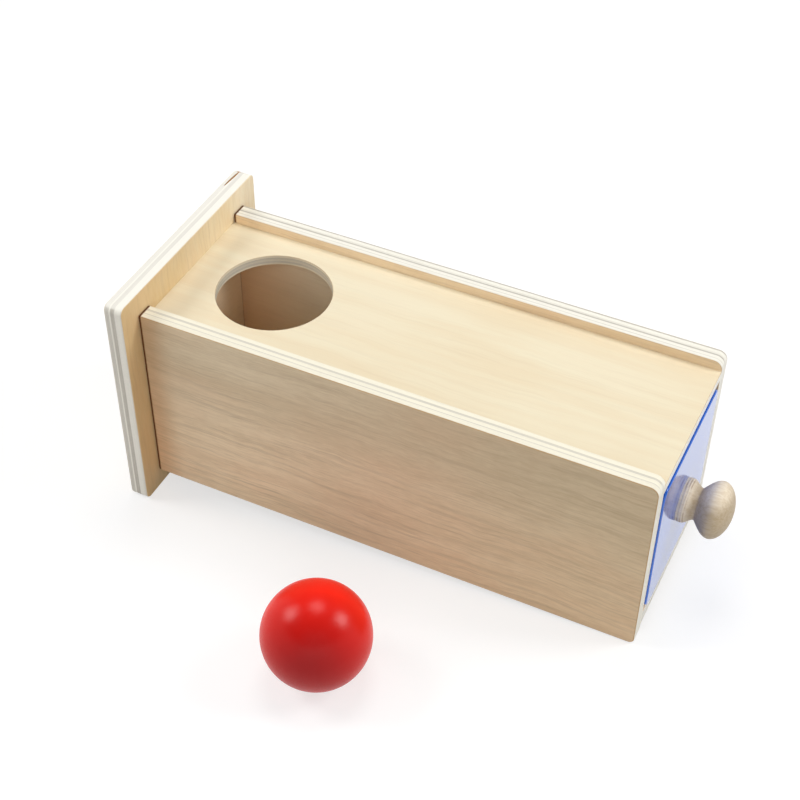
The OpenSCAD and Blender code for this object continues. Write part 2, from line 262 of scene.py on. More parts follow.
class Studio(bpy.types.PropertyGroup):
    """Camera, lamps and floor"""
    camera_place: FloatVectorProperty(
        name="Camera's place", description="Where the camera stands", size=3,
        default=(0.31368, -0.44488, 0.51875), precision=5, subtype="TRANSLATION", unit="LENGTH")
    camera_turn: FloatVectorProperty(
        name="Camera's turn", description="How the camera is turned", size=3,
        default=tuple(math.radians(turn) for turn in (46.8218, -0.4609, 25.6652)),
        precision=5, subtype="EULER", unit="ROTATION")
    lens: FloatProperty(name="Lens", description="Focal length in millimetres on a 36 mm sensor",
                        default=70.525, min=10.0, max=300.0)
    lamp_distance: length("Lamps' distance", "Distance of the lamps from the box", 1.2, 5.0)
    lamp_size: length("Lamps' size", "Width of the square lamps", 0.45, 3.0)
    left_watts: share("Left lamp", "Power of the lamp behind the plate", 4.8, 100.0)
    back_watts: share("Back lamp", "Power of the lamp over the far side", 3.4, 100.0)
    right_watts: share("Right lamp", "Power of the lamp in front of the drawer", 5.7, 100.0)
    fill_watts: share("Front lamp", "Power of the broad lamp in front of the near side", 4.6, 100.0)
    fill_size: length("Front lamp's size", "Width of that lamp", 1.2, 3.0)
    sky: share("Sky", "Brightness of the room overhead", 0.24)
    horizon: share("Horizon", "Brightness of the room near the floor", 0.9)
    floor_glow: share("Floor's glow", "Brightness added to the floor where it is seen", 0.62)
    floor_size: length("Floor's size", "Width of the floor", 8.0, 40.0)


# Shapes

def box_shape(low, high):
    """A plain block between two corners"""
    shape = bmesh.new()
    bmesh.ops.create_cube(shape, size=1.0)
    bmesh.ops.scale(shape, vec=high - low, verts=shape.verts)
    bmesh.ops.translate(shape, vec=(low + high) / 2, verts=shape.verts)
    return shape


def bevel(shape, edges, width, steps):
    """Rounds some edges of a shape"""
    bmesh.ops.bevel(shape, geom=edges, offset=width, offset_type="OFFSET", segments=steps,
                    profile=0.5, affect="EDGES", clamp_overlap=True, material=-1)


def round_corner(shape, along, corner, radius, steps):
    """Rounds the edge that runs along one axis through a corner"""
    def miss(edge):
        reach = (edge.verts[1].co - edge.verts[0].co).normalized()
        off = (edge.verts[0].co + edge.verts[1].co) / 2 - corner
        off[along] = 0
        return off.length if abs(reach[along]) > PARALLEL else math.inf
    bevel(shape, [min(shape.edges, key=miss)], radius, steps)


def round_corners(shape, low, high, radius, steps):
    """Rounds the four corners of a board that faces along X"""
    for across in (low.y, high.y):
        for up in (low.z, high.z):
            round_corner(shape, X, Vector((0, across, up)), radius, steps)


def sharp_edges(shape):
    """The edges of a shape that are to be eased"""
    return [edge for edge in shape.edges if edge.calc_face_angle(0) > EASED_ANGLE]


def ease_edges(shape, width, steps):
    """Eases every sharp edge of a shape"""
    bevel(shape, sharp_edges(shape), width, steps)


def grown(node, gaps=1):
    """The space of a CAD node, with one glue gap or more all round"""
    gap = gaps * bpy.context.scene.ball_box_boards.glue_gap
    shape = bmesh.new()
    shape.from_mesh(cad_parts[node].data)
    bmesh.ops.remove_doubles(shape, verts=shape.verts, dist=WELD)
    shape.normal_update()
    for corner in shape.verts:
        corner.co += corner.normal * gap
    return shape


def add_object(name, data):
    """An object in the scene"""
    thing = bpy.data.objects.new(name, data)
    bpy.context.scene.collection.objects.link(thing)
    return thing


def loose_object(name, shape):
    """An object made from a shape, which is used up"""
    mesh = bpy.data.meshes.new(name)
    shape.to_mesh(mesh)
    shape.free()
    return add_object(name, mesh)


def cut(shape, *cutters):
    """Cuts shapes out of a shape, and returns what is left"""
    block = loose_object("block", shape)
    tools = [loose_object("cutter", cutter) for cutter in cutters]
    for tool in tools:
        boolean = block.modifiers.new("Cut", "BOOLEAN")
        boolean.operation = "DIFFERENCE"
        boolean.solver = "EXACT"
        boolean.object = tool
    left = bmesh.new()
    left.from_object(block, bpy.context.evaluated_depsgraph_get())
    for used in [block] + tools:
        mesh = used.data
        bpy.data.objects.remove(used)
        bpy.data.meshes.remove(mesh)
    bmesh.ops.remove_doubles(left, verts=left.verts, dist=WELD)
    return left


def piece(name, shape, material, body, nodes):
    """A finished piece in the place of CAD nodes"""
    thing = loose_object(name, shape)
    for face in thing.data.polygons:
        face.use_smooth = True
    thing.data.set_sharp_from_angle(angle=CRISP_ANGLE)
    thing.data.materials.append(material)
    even = thing.modifiers.new("Even shading", "WEIGHTED_NORMAL")
    even.keep_sharp = True
    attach(thing, body)
    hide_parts(*nodes)


# Finishes

# Places of the Mix node's sockets for colours
MIX_FACTOR, MIX_FIRST, MIX_SECOND, MIX_COLOUR = 0, 6, 7, 2


class NodeTree:
    """A node tree in the making, with short ways to add its nodes"""

    def __init__(self, tree):
        self.tree = tree

    def feed(self, socket, value):
        """Links a value to a socket, or sets it there"""
        if isinstance(value, bpy.types.NodeSocket):
            self.tree.links.new(value, socket)
        elif socket.type == "RGBA":
            socket.default_value = (*value[:3], 1.0)
        else:
            socket.default_value = value

    def fill(self, node, **values):
        """Sets a node's inputs by their names"""
        for name, value in values.items():
            socket = name.replace("_", " ").title().replace("Ior", "IOR")
            self.feed(node.inputs[socket], value)

    def found(self, kind):
        """The node of a kind that a new tree comes with"""
        return next(node for node in self.tree.nodes if node.type == kind)

    def node(self, kind, values=(), **settings):
        """A new node with its settings and its first inputs"""
        added = self.tree.nodes.new(kind)
        for name, value in settings.items():
            setattr(added, name, value)
        for socket, value in zip(added.inputs, values):
            self.feed(socket, value)
        return added

    def maths(self, operation, *values):
        """A number worked out from others"""
        return self.node("ShaderNodeMath", values, operation=operation).outputs[0]

    def measure(self, operation, *vectors):
        """A number worked out from vectors"""
        return self.node("ShaderNodeVectorMath", vectors, operation=operation).outputs["Value"]

    def add(self, first, second, weight):
        """A number with a share of another added"""
        return self.maths("ADD", first, self.maths("MULTIPLY", second, weight))

    def swing(self, noise, reach):
        """Noise made to swing to both sides of zero"""
        return self.maths("MULTIPLY", self.maths("SUBTRACT", noise, 0.5), reach)

    def off(self, value, middle):
        """How far a number is off another"""
        return self.maths("ABSOLUTE", self.maths("SUBTRACT", value, middle))

    def step(self, value, low, high, first=0.0, last=1.0, kind="SMOOTHSTEP"):
        """A step from one value to another, smooth or straight"""
        return self.node("ShaderNodeMapRange", (value, low, high, first, last),
                         interpolation_type=kind).outputs[0]

    def mix(self, factor, first, second, kind="MIX"):
        """A blend of two colours"""
        blend = self.node("ShaderNodeMix", data_type="RGBA", blend_type=kind)
        self.feed(blend.inputs[MIX_FACTOR], factor)
        self.feed(blend.inputs[MIX_FIRST], first)
        self.feed(blend.inputs[MIX_SECOND], second)
        return blend.outputs[MIX_COLOUR]

    def layers(self, value, plies):
        """A number for each ply, from where each of them ends"""
        ramp = self.node("ShaderNodeValToRGB", (value,))
        stops = ramp.color_ramp.elements
        for stop, ply in zip(stops, (plies[0], plies[-1])):
            stop.color = (ply[1], ply[1], ply[1], 1.0)
        for ply, above in zip(plies, plies[1:]):
            for place, pale in ((ply[0] - PLY_EDGE, ply[1]), (ply[0] + PLY_EDGE, above[1])):
                stops.new(place).color = (pale, pale, pale, 1.0)
        return ramp.outputs[0]

    def noise(self, point, stretch, seed, detail=2.0, roughness=0.5, twist=0.0):
        """Noise drawn out by its own scale along each axis"""
        spot = self.node("ShaderNodeVectorMath", (point, stretch, (seed, 1.7 * seed, 2.3 * seed)),
                         operation="MULTIPLY_ADD").outputs[0]
        cloud = self.node("ShaderNodeTexNoise")
        self.fill(cloud, vector=spot, scale=1.0, detail=detail, roughness=roughness, distortion=twist)
        return cloud.outputs[0]

    def split(self, vector):
        """The three parts of a vector"""
        return self.node("ShaderNodeSeparateXYZ", (vector,)).outputs

    def seen(self):
        """1 for rays from the camera and for those of gloss and glass, or else 0"""
        path = self.node("ShaderNodeLightPath").outputs
        direct = self.maths("ADD", path["Is Camera Ray"], path["Is Glossy Ray"])
        return self.maths("ADD", direct, path["Is Transmission Ray"])


class Finish(NodeTree):
    """A material in the making"""

    def __init__(self, name):
        self.material = bpy.data.materials.new(name)
        self.material.use_nodes = True
        super().__init__(self.material.node_tree)
        self.surface = self.found("BSDF_PRINCIPLED")
        self.place = self.node("ShaderNodeTexCoord").outputs["Object"]
        self.colours = bpy.context.scene.ball_box_finishes

    def bump(self, height, strength, distance, target="Normal"):
        """Fine relief from a height"""
        relief = self.node("ShaderNodeBump")
        self.fill(relief, strength=strength, distance=distance, height=height)
        self.feed(self.surface.inputs[target], relief.outputs[0])

    def set(self, **values):
        """Sets the surface's own sockets"""
        self.fill(self.surface, **values)


def board_point(finish, low, high, grain, thick):
    """A point in a board's own axes: along its grain, across it, and through its plies"""
    across = AXES[thick].cross(AXES[grain])
    turn = Matrix((AXES[grain], across, AXES[thick])).transposed().to_euler()
    mapping = finish.node("ShaderNodeMapping", (finish.place,), vector_type="TEXTURE")
    mapping.inputs["Location"].default_value = (low + high) / 2
    mapping.inputs["Rotation"].default_value = turn
    return mapping.outputs[0]


def veneer(wood, point, places, pale, deep, seed, banded, lined, blush, flecked, fibred, shade_tints):
    """Colour, relief and fibres of a veneer: long lines that wander across it, in clouds of tone, under
    tints of painted light and shade
    """
    along, across, depth = wood.split(point)
    wander = wood.swing(wood.noise(point, (16, 30, 30), seed + 1), WANDER)
    ripple = wood.swing(wood.noise(point, (95, 70, 70), seed + 2), RIPPLE)
    across = wood.maths("ADD", across, wood.maths("ADD", wander, ripple))
    flow = wood.node("ShaderNodeCombineXYZ", (along, across, depth)).outputs[0]
    bands = wood.noise(flow, (7, 130, 130), seed, detail=3.0, roughness=0.55)
    lines = wood.noise(flow, (16, 620, 620), seed + 5, detail=4.0, roughness=0.7)
    fibres = wood.noise(flow, (90, 1500, 1500), seed + 7, roughness=0.6)
    clouds = wood.noise(point, (14, 30, 30), seed + 9)
    flecks = wood.noise(flow, (160, 800, 800), seed + 11, detail=3.0, roughness=0.65)
    pores = wood.step(wood.noise(flow, (90, 2300, 2300), seed + 13, detail=1.0), 0.62, 0.76)

    figure = wood.add(wood.maths("MULTIPLY", bands, banded), clouds, 1 - flecked - banded)
    figure = wood.add(figure, flecks, flecked)
    colour = wood.mix(wood.step(figure, 0.36, 0.64), deep, pale)
    blushed = wood.step(clouds, 0.45, 0.70, 0.0, blush)
    colour = wood.mix(blushed, colour, wood.colours.blush, "MULTIPLY")
    # Painted light and shade, laid on as tints along an axis
    for axis, start, stop, first, last in shade_tints:
        tint = wood.mix(wood.step(places[axis], start, stop), first, last)
        colour = wood.mix(1.0, colour, tint, "MULTIPLY")
    dark = wood.add(wood.step(lines, 0.50, 0.64, 0.0, lined), pores, 0.4 * lined)
    dark = wood.maths("ADD", dark, wood.step(fibres, 0.45, 0.75, 0.0, fibred))
    relief = wood.add(wood.add(fibres, pores, -0.5), lines, 0.5)
    return wood.mix(dark, colour, wood.colours.grain), relief, fibres


def ply_edges(wood, point, thickness, end, plies, pale, end_highlight, seed):
    """Colour of the cut edges: a tone for each ply, with a painted highlight that makes them paler at
    the grain's ends
    """
    along, across, depth = wood.split(point)
    drift = wood.swing(wood.noise(point, (14, 14, 0), seed + 17), PLY_DRIFT)
    layer = wood.maths("DIVIDE", wood.maths("ADD", depth, drift), thickness)
    tones = wood.layers(wood.maths("ADD", layer, 0.5), plies)
    streaks = wood.noise(point, (30, 30, 2200), seed + 21, detail=3.0, roughness=0.6)
    tones = wood.maths("ADD", tones, wood.swing(streaks, 0.7))
    specks = wood.noise(point, (700, 700, 1500), seed + 23)
    tones = wood.maths("ADD", tones, wood.swing(specks, 0.25))
    colour = wood.mix(tones, wood.colours.ply_deep, pale)
    along = wood.maths("ABSOLUTE", along)
    ends = wood.step(along, end - PALE_START, end - PALE_END, 0.0, end_highlight)
    return wood.mix(ends, colour, wood.colours.ply_end_highlight)


def void_shade(wood, places, spot, reach):
    """One inside the void in a ply, a little below its mouth at the spot"""
    inside = wood.step(wood.off(places[X], spot.x), VOID_START, VOID_END, 1.0, 0.0)
    near = wood.step(wood.measure("DISTANCE", wood.place, spot), reach, 1.1 * reach, 1.0, 0.0)
    below = wood.step(places[Z], spot.z - MOUTH_START, spot.z - MOUTH_END, 1.0, 0.0)
    return wood.maths("MULTIPLY", wood.maths("MULTIPLY", inside, near), below)


def plywood(name, low, high, grain, thick, plies, pale, deep, seed, banded=0.45, lined=0.22,
            blush=0.3, flecked=0.2, fibred=0.06, end_highlight=0.5, cut_pale=None, shade_tints=(), brown_shade=0.0,
            joints=(), void=None):
    """Plywood through and through: veneer on its faces, plies on its cut edges"""
    wood = Finish(name)
    colours = wood.colours
    point = board_point(wood, low, high, grain, thick)
    places = wood.split(wood.place)
    thickness = (high - low)[thick]
    end = (high - low)[grain] / 2
    face, relief, fibres = veneer(wood, point, places, pale, deep, seed, banded, lined, blush,
                                  flecked, fibred, shade_tints)
    edge = ply_edges(wood, point, thickness, end, plies, cut_pale or colours.ply_pale, end_highlight, seed)

    # The veneer's own thickness shows on the eased edges, with a thin brown line of painted shade at its
    # corner
    shell = wood.maths("ABSOLUTE", wood.split(point)[Z])
    surface = thickness / 2
    skin = wood.step(shell, surface - VENEER_START, surface - VENEER_END)
    colour = wood.mix(skin, edge, face)
    brown = wood.step(shell, surface - BROWN_START, surface - BROWN_END, brown_shade, 0.0)
    colour = wood.mix(wood.maths("MULTIPLY", skin, brown), colour, colours.brown_shade)
    for axis, place, width in joints:
        shaded = wood.step(wood.off(places[axis], place), 0.6 * width, width, 1.0, 0.0)
        colour = wood.mix(shaded, colour, colours.joint)
    # Painted shade inside the void in the plate's ply
    if void is not None:
        colour = wood.mix(void_shade(wood, places, *void), colour, colours.brown_shade)
    wood.set(base_color=colour, roughness=wood.step(fibres, 0.2, 0.8, 0.50, 0.62),
             specular_ior_level=0.25)
    wood.bump(relief, 0.35, 0.06 * MM)
    return wood.material


def turned_beech(name, low, high, pale, deep, seed, shade=None, line=None, lines=()):
    """Beech with its grain along the knob, fine darker lines turned into it, and painted shade on the
    head low down where a shade is given
    """
    wood = Finish(name)
    point = board_point(wood, low, high, X, Z)
    rings = wood.noise(point, (110, 1000, 1000), seed, detail=3.0, roughness=0.6, twist=0.3)
    fibres = wood.noise(point, (260, 2600, 2600), seed + 3, roughness=0.6)
    flecks = wood.noise(point, (420, 1700, 1700), seed + 7, detail=1.0)
    flecks = wood.step(flecks, 0.60, 0.72)
    figure = wood.add(wood.maths("MULTIPLY", rings, 0.75), fibres, 0.25)
    colour = wood.mix(wood.step(figure, 0.36, 0.60), deep, pale)
    colour = wood.mix(wood.maths("MULTIPLY", flecks, 0.25), colour, deep)
    places = wood.split(wood.place)
    place = wood.maths("SUBTRACT", places[X], low.x)
    # Painted shade: the head darker low down, away from the foot
    if shade is not None:
        upper = wood.step(places[Z], (low.z + high.z) / 2 + KNOB_TINT_HEIGHT, high.z)
        foot = wood.step(place, KNOB_TINT_START, KNOB_TINT_END, 1.0, 0.0)
        near = wood.maths("MAXIMUM", upper, foot)
        colour = wood.mix(1.0, colour, wood.mix(near, shade, WHITE), "MULTIPLY")
    patchy = wood.step(wood.noise(wood.place, (200, 200, 200), seed + 11), 0.35, 0.65, 0.1, 0.7)
    for middle, width in lines:
        turned = wood.step(wood.off(place, middle), 0.4 * width, 1.6 * width, 1.0, 0.0)
        colour = wood.mix(wood.maths("MULTIPLY", patchy, turned), colour, line)
    wood.set(base_color=colour, roughness=wood.step(fibres, 0.2, 0.8, 0.42, 0.56),
             specular_ior_level=0.3)
    wood.bump(wood.maths("SUBTRACT", fibres, flecks), 0.2, 0.04 * MM)
    return wood.material


def gloss_paint(name, colour, seed):
    """Smooth enamel with a faint brushed swell"""
    paint = Finish(name)
    swell = paint.noise(paint.place, (90, 90, 90), seed)
    speckle = paint.noise(paint.place, (900, 900, 900), seed + 3)
    darker = [0.86 * part for part in colour]
    paint.set(base_color=paint.mix(paint.step(swell, 0.3, 0.7), darker, colour),
              roughness=paint.step(speckle, 0.3, 0.7, 0.09, 0.14),
              coat_weight=0.45, coat_roughness=0.05)
    paint.bump(paint.add(swell, speckle, 0.08), 0.25, 0.08 * MM)
    return paint.material


def satin_lacquer(name, low, high, colour, deep, seed):
    """Satin lacquer over turned wood, darkened by painted shade on its near side, with a fine broken
    sheen
    """
    lacquer = Finish(name)
    grain = lacquer.noise(lacquer.place, (1900, 1900, 900), seed, detail=3.0, roughness=0.65)
    cloud = lacquer.noise(lacquer.place, (60, 60, 60), seed + 3)
    centre, radius = (low + high) / 2, (high - low).z / 2
    # Painted shade: the lacquer darkens away from the lit side
    across = lacquer.measure("DOT_PRODUCT", lacquer.place, LIT_SIDE)
    start = centre.dot(LIT_SIDE) - radius
    fade = lacquer.step(across, start, start + 0.95 * radius, kind="LINEAR")
    tone_here = lacquer.mix(fade, deep, colour)
    deeper = lacquer.mix(1.0, tone_here, (0.94, 0.94, 0.94), "MULTIPLY")
    lacquer.set(base_color=lacquer.mix(lacquer.step(cloud, 0.3, 0.7), deeper, tone_here),
                roughness=lacquer.step(grain, 0.3, 0.7, 0.42, 0.58),
                specular_ior_level=0.06, coat_weight=0.45, coat_roughness=0.23)
    lacquer.bump(grain, 0.5, 0.06 * MM)
    lacquer.bump(grain, 0.5, 0.10 * MM, "Coat Normal")
    return lacquer.material


def bright_steel(name, colour, seed):
    """Zinc-plated steel, faintly brushed"""
    steel = Finish(name)
    brush = steel.noise(steel.place, (200, 2500, 2500), seed, detail=3.0)
    dull = [0.8 * part for part in colour]
    steel.set(base_color=steel.mix(steel.step(brush, 0.3, 0.7), dull, colour),
              roughness=steel.step(brush, 0.3, 0.7, 0.22, 0.36), metallic=1.0)
    steel.bump(brush, 0.2, 0.03 * MM)
    return steel.material


def dress(material, *nodes):
    """Gives CAD nodes a finish"""
    for node in nodes:
        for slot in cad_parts[node].material_slots:
            slot.link = "OBJECT"
            slot.material = material


# Pieces

def board_settings(context):
    """The boards' sizes and the finishes"""
    return context.scene.ball_box_boards, context.scene.ball_box_finishes


class MakeBackPlate(bpy.types.Operator):
    """Makes the square plate that the box ends on"""
    bl_idname = "ball_box.back_plate"
    bl_label = "Back plate"

    def execute(self, context):
        sizes, colours = board_settings(context)
        low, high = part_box("back_plate")
        shape = box_shape(low, high)
        round_corners(shape, low, high, sizes.plate_corner, sizes.corner_steps)
        ease_edges(shape, sizes.ease, sizes.ease_steps)
        void = bmesh.new()
        bmesh.ops.create_uvsphere(void, u_segments=VOID_SEGMENTS, v_segments=VOID_RINGS, radius=1.0)
        bmesh.ops.scale(void, vec=(sizes.void_width, sizes.void_reach, sizes.void_depth),
                        verts=void.verts)
        bmesh.ops.rotate(void, matrix=Matrix.Rotation(VOID_ANGLE, 3, "Z"), verts=void.verts)
        middle = (low + high) / 2
        spot = Vector((middle.x - sizes.void_back, middle.y + sizes.void_place, high.z))
        bmesh.ops.translate(void, vec=spot, verts=void.verts)
        shape = cut(shape, void, grown("plate_dowels"))
        wood = plywood("Plate plywood", low, high, Z, X, PLATE_PLIES,
                       colours.plate_pale, colours.plate_deep, seed=3.0, banded=0.15, lined=0.12,
                       # Painted highlight on the plies of the plate's top and bottom edges
                       blush=0.6, end_highlight=0.6, void=(spot, sizes.void_reach),
                       # Painted shade: darker on the plate's left, fading to none on its right
                       shade_tints=[(Y, low.y, high.y, colours.plate_left_shade, colours.plate_right_shade)])
        piece("plate_board", shape, wood, "box", ["back_plate"])
        return {"FINISHED"}


class MakeSidePanels(bpy.types.Operator):
    """Makes the two side panels, grooved for the top panel"""
    bl_idname = "ball_box.side_panels"
    bl_label = "Side panels"

    def execute(self, context):
        sizes, colours = board_settings(context)
        top_low, top_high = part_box("top_panel")
        gap = sizes.glue_gap
        for name, node, plies, seed in (("left_side_board", "left_side_panel", NEAR_PLIES, 11.0),
                                        ("right_side_board", "right_side_panel", FAR_PLIES, 29.0)):
            low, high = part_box(node)
            shape = box_shape(low, high)
            for up, radius in ((high.z, sizes.upper_corner), (low.z, sizes.lower_corner)):
                round_corner(shape, Y, Vector((high.x, 0, up)), radius, sizes.corner_steps)
            ease_edges(shape, sizes.ease, sizes.ease_steps)
            groove = box_shape(Vector((low.x - OVERRUN, top_low.y - gap, top_low.z - gap)),
                               Vector((high.x - sizes.groove_stop, top_high.y + gap,
                                       top_high.z + gap)))
            shape = cut(shape, groove, grown("plate_dowels"), grown("bottom_dowels"))
            joints = [(X, low.x, PLATE_SHADE)]
            # Painted shade: both panels darker towards their fronts
            front_shade_tint = (X, low.x, high.x, WHITE, colours.side_front_shade)
            if node == "left_side_panel":
                # Painted light and shade: the near panel darker towards its top and beside the plate,
                # lighter towards its foot
                shade_tints = [(Z, low.z, high.z, colours.side_foot_light, colours.side_top_shade), front_shade_tint,
                         (X, low.x + TINT_START, low.x + TINT_END, colours.side_plate_shade, WHITE)]
                wood = plywood("Near side plywood", low, high, X, Y, plies, colours.side_pale,
                               colours.side_deep, seed, lined=0.25, flecked=0.36, fibred=0.2, brown_shade=0.8,
                               cut_pale=colours.ply_warm, shade_tints=shade_tints, joints=joints)
            else:
                wood = plywood("Far side plywood", low, high, X, Y, plies, colours.far_pale,
                               colours.far_deep, seed, lined=0.2, fibred=0.1, brown_shade=0.5,
                               shade_tints=[front_shade_tint], joints=joints)
            piece(name, shape, wood, "box", [node])
        return {"FINISHED"}


class MakeTopPanel(bpy.types.Operator):
    """Makes the top panel, tongued into the sides, with the ball hole"""
    bl_idname = "ball_box.top_panel"
    bl_label = "Top panel"

    def execute(self, context):
        sizes, colours = board_settings(context)
        low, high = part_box("top_panel")
        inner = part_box("left_side_panel")[1].y
        shape = box_shape(low, high)
        hole = bmesh.new()
        bmesh.ops.create_cone(hole, cap_ends=True, segments=HOLE_STEPS, radius1=sizes.hole_radius,
                              radius2=sizes.hole_radius, depth=4 * (high.z - low.z))
        centre = Vector((low.x + sizes.hole_place, 0, (low.z + high.z) / 2))
        bmesh.ops.translate(hole, vec=centre, verts=hole.verts)
        start = high.x - sizes.groove_stop
        notches = [box_shape(Vector((start, left, low.z - OVERRUN)),
                             Vector((high.x + OVERRUN, right, high.z + OVERRUN)))
                   for left, right in ((inner - NOTCH_REACH, inner), (-inner, NOTCH_REACH - inner))]
        shape = cut(shape, hole, *notches)
        rim = [edge for edge in sharp_edges(shape)
               if all((corner.co - centre).xy.length < sizes.hole_radius + WELD
                      for corner in edge.verts)]
        bevel(shape, rim, sizes.hole_ease, sizes.ease_steps)
        front = [edge for edge in sharp_edges(shape)
                 if all(corner.co.x > high.x - WELD for corner in edge.verts)
                 and abs(edge.verts[0].co.z - edge.verts[1].co.z) < WELD]
        bevel(shape, front, sizes.hole_ease, sizes.ease_steps)
        wood = plywood("Top plywood", low, high, X, Z, TOP_PLIES,
                       colours.top_pale, colours.top_deep, seed=41.0, banded=0.5, flecked=0.05,
                       # Painted highlight: the end edges' plies washed fully pale
                       fibred=0.02, lined=0.05, blush=0.10, end_highlight=1.0, cut_pale=colours.rim,
                       brown_shade=0.5)
        piece("top_board", shape, wood, "box", ["top_panel"])
        return {"FINISHED"}


class MakeBottomPanel(bpy.types.Operator):
    """Makes the bottom panel that the drawer runs on"""
    bl_idname = "ball_box.bottom_panel"
    bl_label = "Bottom panel"

    def execute(self, context):
        sizes, colours = board_settings(context)
        low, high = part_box("bottom_panel")
        shape = box_shape(low, high)
        ease_edges(shape, sizes.drawer_ease, sizes.ease_steps)
        shape = cut(shape, grown("plate_dowels"), grown("bottom_dowels"))
        wood = plywood("Bottom plywood", low, high, X, Z, THIN_PLIES,
                       colours.side_pale, colours.side_deep, seed=53.0)
        piece("bottom_board", shape, wood, "box", ["bottom_panel"])
        return {"FINISHED"}


class MakeDrawerFront(bpy.types.Operator):
    """Makes the drawer's painted front, rabbeted for the walls"""
    bl_idname = "ball_box.drawer_front"
    bl_label = "Drawer's front"

    def execute(self, context):
        sizes, colours = board_settings(context)
        low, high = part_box("drawer_front")
        shape = box_shape(low, high)
        round_corners(shape, low, high, sizes.front_corner, sizes.corner_steps)
        ease_edges(shape, sizes.front_ease, sizes.ease_steps + 1)
        cutters = []
        for wall, side in (("drawer_left_side", low), ("drawer_right_side", high)):
            wall_low, wall_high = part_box(wall)
            outer = side.y + math.copysign(OVERRUN, side.y)
            inner = wall_high.y if side.y < 0 else wall_low.y
            cutters.append(box_shape(
                Vector((low.x - OVERRUN, min(inner, outer), low.z - OVERRUN)),
                Vector((wall_high.x + sizes.glue_gap, max(inner, outer), high.z + OVERRUN))))
        shape = cut(shape, *cutters, grown("drawer_bottom"), grown("drawer_brads"),
                    grown("knob_screw", SCREW_PLAY))
        paint = gloss_paint("Blue enamel", colours.blue, seed=7.0)
        piece("painted_front", shape, paint, "drawer", ["drawer_front"])
        return {"FINISHED"}


class MakeDrawerWalls(bpy.types.Operator):
    """Makes the drawer's side walls and back, grooved for its floor"""
    bl_idname = "ball_box.drawer_walls"
    bl_label = "Drawer's walls"

    def execute(self, context):
        sizes, colours = board_settings(context)
        for name, node, grain, thick, seed in (("left_drawer_wall", "drawer_left_side", X, Y, 61.0),
                                               ("right_drawer_wall", "drawer_right_side", X, Y, 73.0),
                                               ("back_drawer_wall", "drawer_back", Y, X, 87.0)):
            low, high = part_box(node)
            shape = box_shape(low, high)
            ease_edges(shape, sizes.drawer_ease, sizes.ease_steps)
            shape = cut(shape, grown("drawer_bottom"), grown("drawer_brads"))
            pale, deep = colours.drawer_pale, colours.drawer_deep
            # Painted shade on the side walls, darker towards the plate
            shade_tints = [(X, low.x, low.x + DRAWER_TINT, colours.drawer_back, WHITE)]
            joints = [(X, high.x, FRONT_SHADE)]
            if node == "drawer_back":
                pale, deep, shade_tints = colours.side_pale, colours.side_deep, ()
                joints = [(Y, low.y, BACK_SHADE), (Y, high.y, BACK_SHADE)]
            label = name.replace("_", " ").capitalize() + " plywood"
            wood = plywood(label, low, high, grain, thick, THIN_PLIES, pale, deep, seed,
                           banded=0.2, lined=0.05, shade_tints=shade_tints, joints=joints)
            piece(name, shape, wood, "drawer", [node])
        return {"FINISHED"}


class MakeDrawerFloor(bpy.types.Operator):
    """Makes the drawer's thin floor"""
    bl_idname = "ball_box.drawer_floor"
    bl_label = "Drawer's floor"

    def execute(self, context):
        sizes, colours = board_settings(context)
        low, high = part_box("drawer_bottom")
        shape = box_shape(low, high)
        ease_edges(shape, sizes.drawer_ease, sizes.ease_steps)
        wood = plywood("Drawer floor plywood", low, high, X, Z, FLOOR_PLIES,
                       colours.drawer_pale, colours.drawer_deep, seed=97.0, banded=0.2, lined=0.05)
        piece("drawer_floor", shape, wood, "drawer", ["drawer_bottom"])
        return {"FINISHED"}


def knob_outline(sizes, reach):
    """Distance from the drawer's front and radius of each point of the knob's profile"""
    def even(part):
        return part

    def rising(part):
        return math.sin(part * math.pi / 2)

    def falling(part):
        return 1 - math.cos(part * math.pi / 2)

    def waved(part):
        return (1 - math.cos(part * math.pi)) / 2

    def line(place):
        """How deep the fine turned lines are here"""
        return sum(sizes.line_depth * math.exp(-((place - middle) / sizes.line_width) ** 2)
                   for middle in sizes.lines)

    stations = ((0.0, sizes.foot), (sizes.bead_place, sizes.bead), (sizes.neck_place, sizes.neck),
                (sizes.head_place, sizes.head), (reach, 0.0))
    curves = ((even, rising), (even, waved), (even, rising), (rising, falling))
    outline = [stations[0]]
    for start, stop, (along, across) in zip(stations, stations[1:], curves):
        for step in range(1, sizes.steps + 1):
            part = step / sizes.steps
            outline.append((start[0] + (stop[0] - start[0]) * along(part),
                            start[1] + (stop[1] - start[1]) * across(part)))
    return [(place, radius - line(place)) for place, radius in outline]


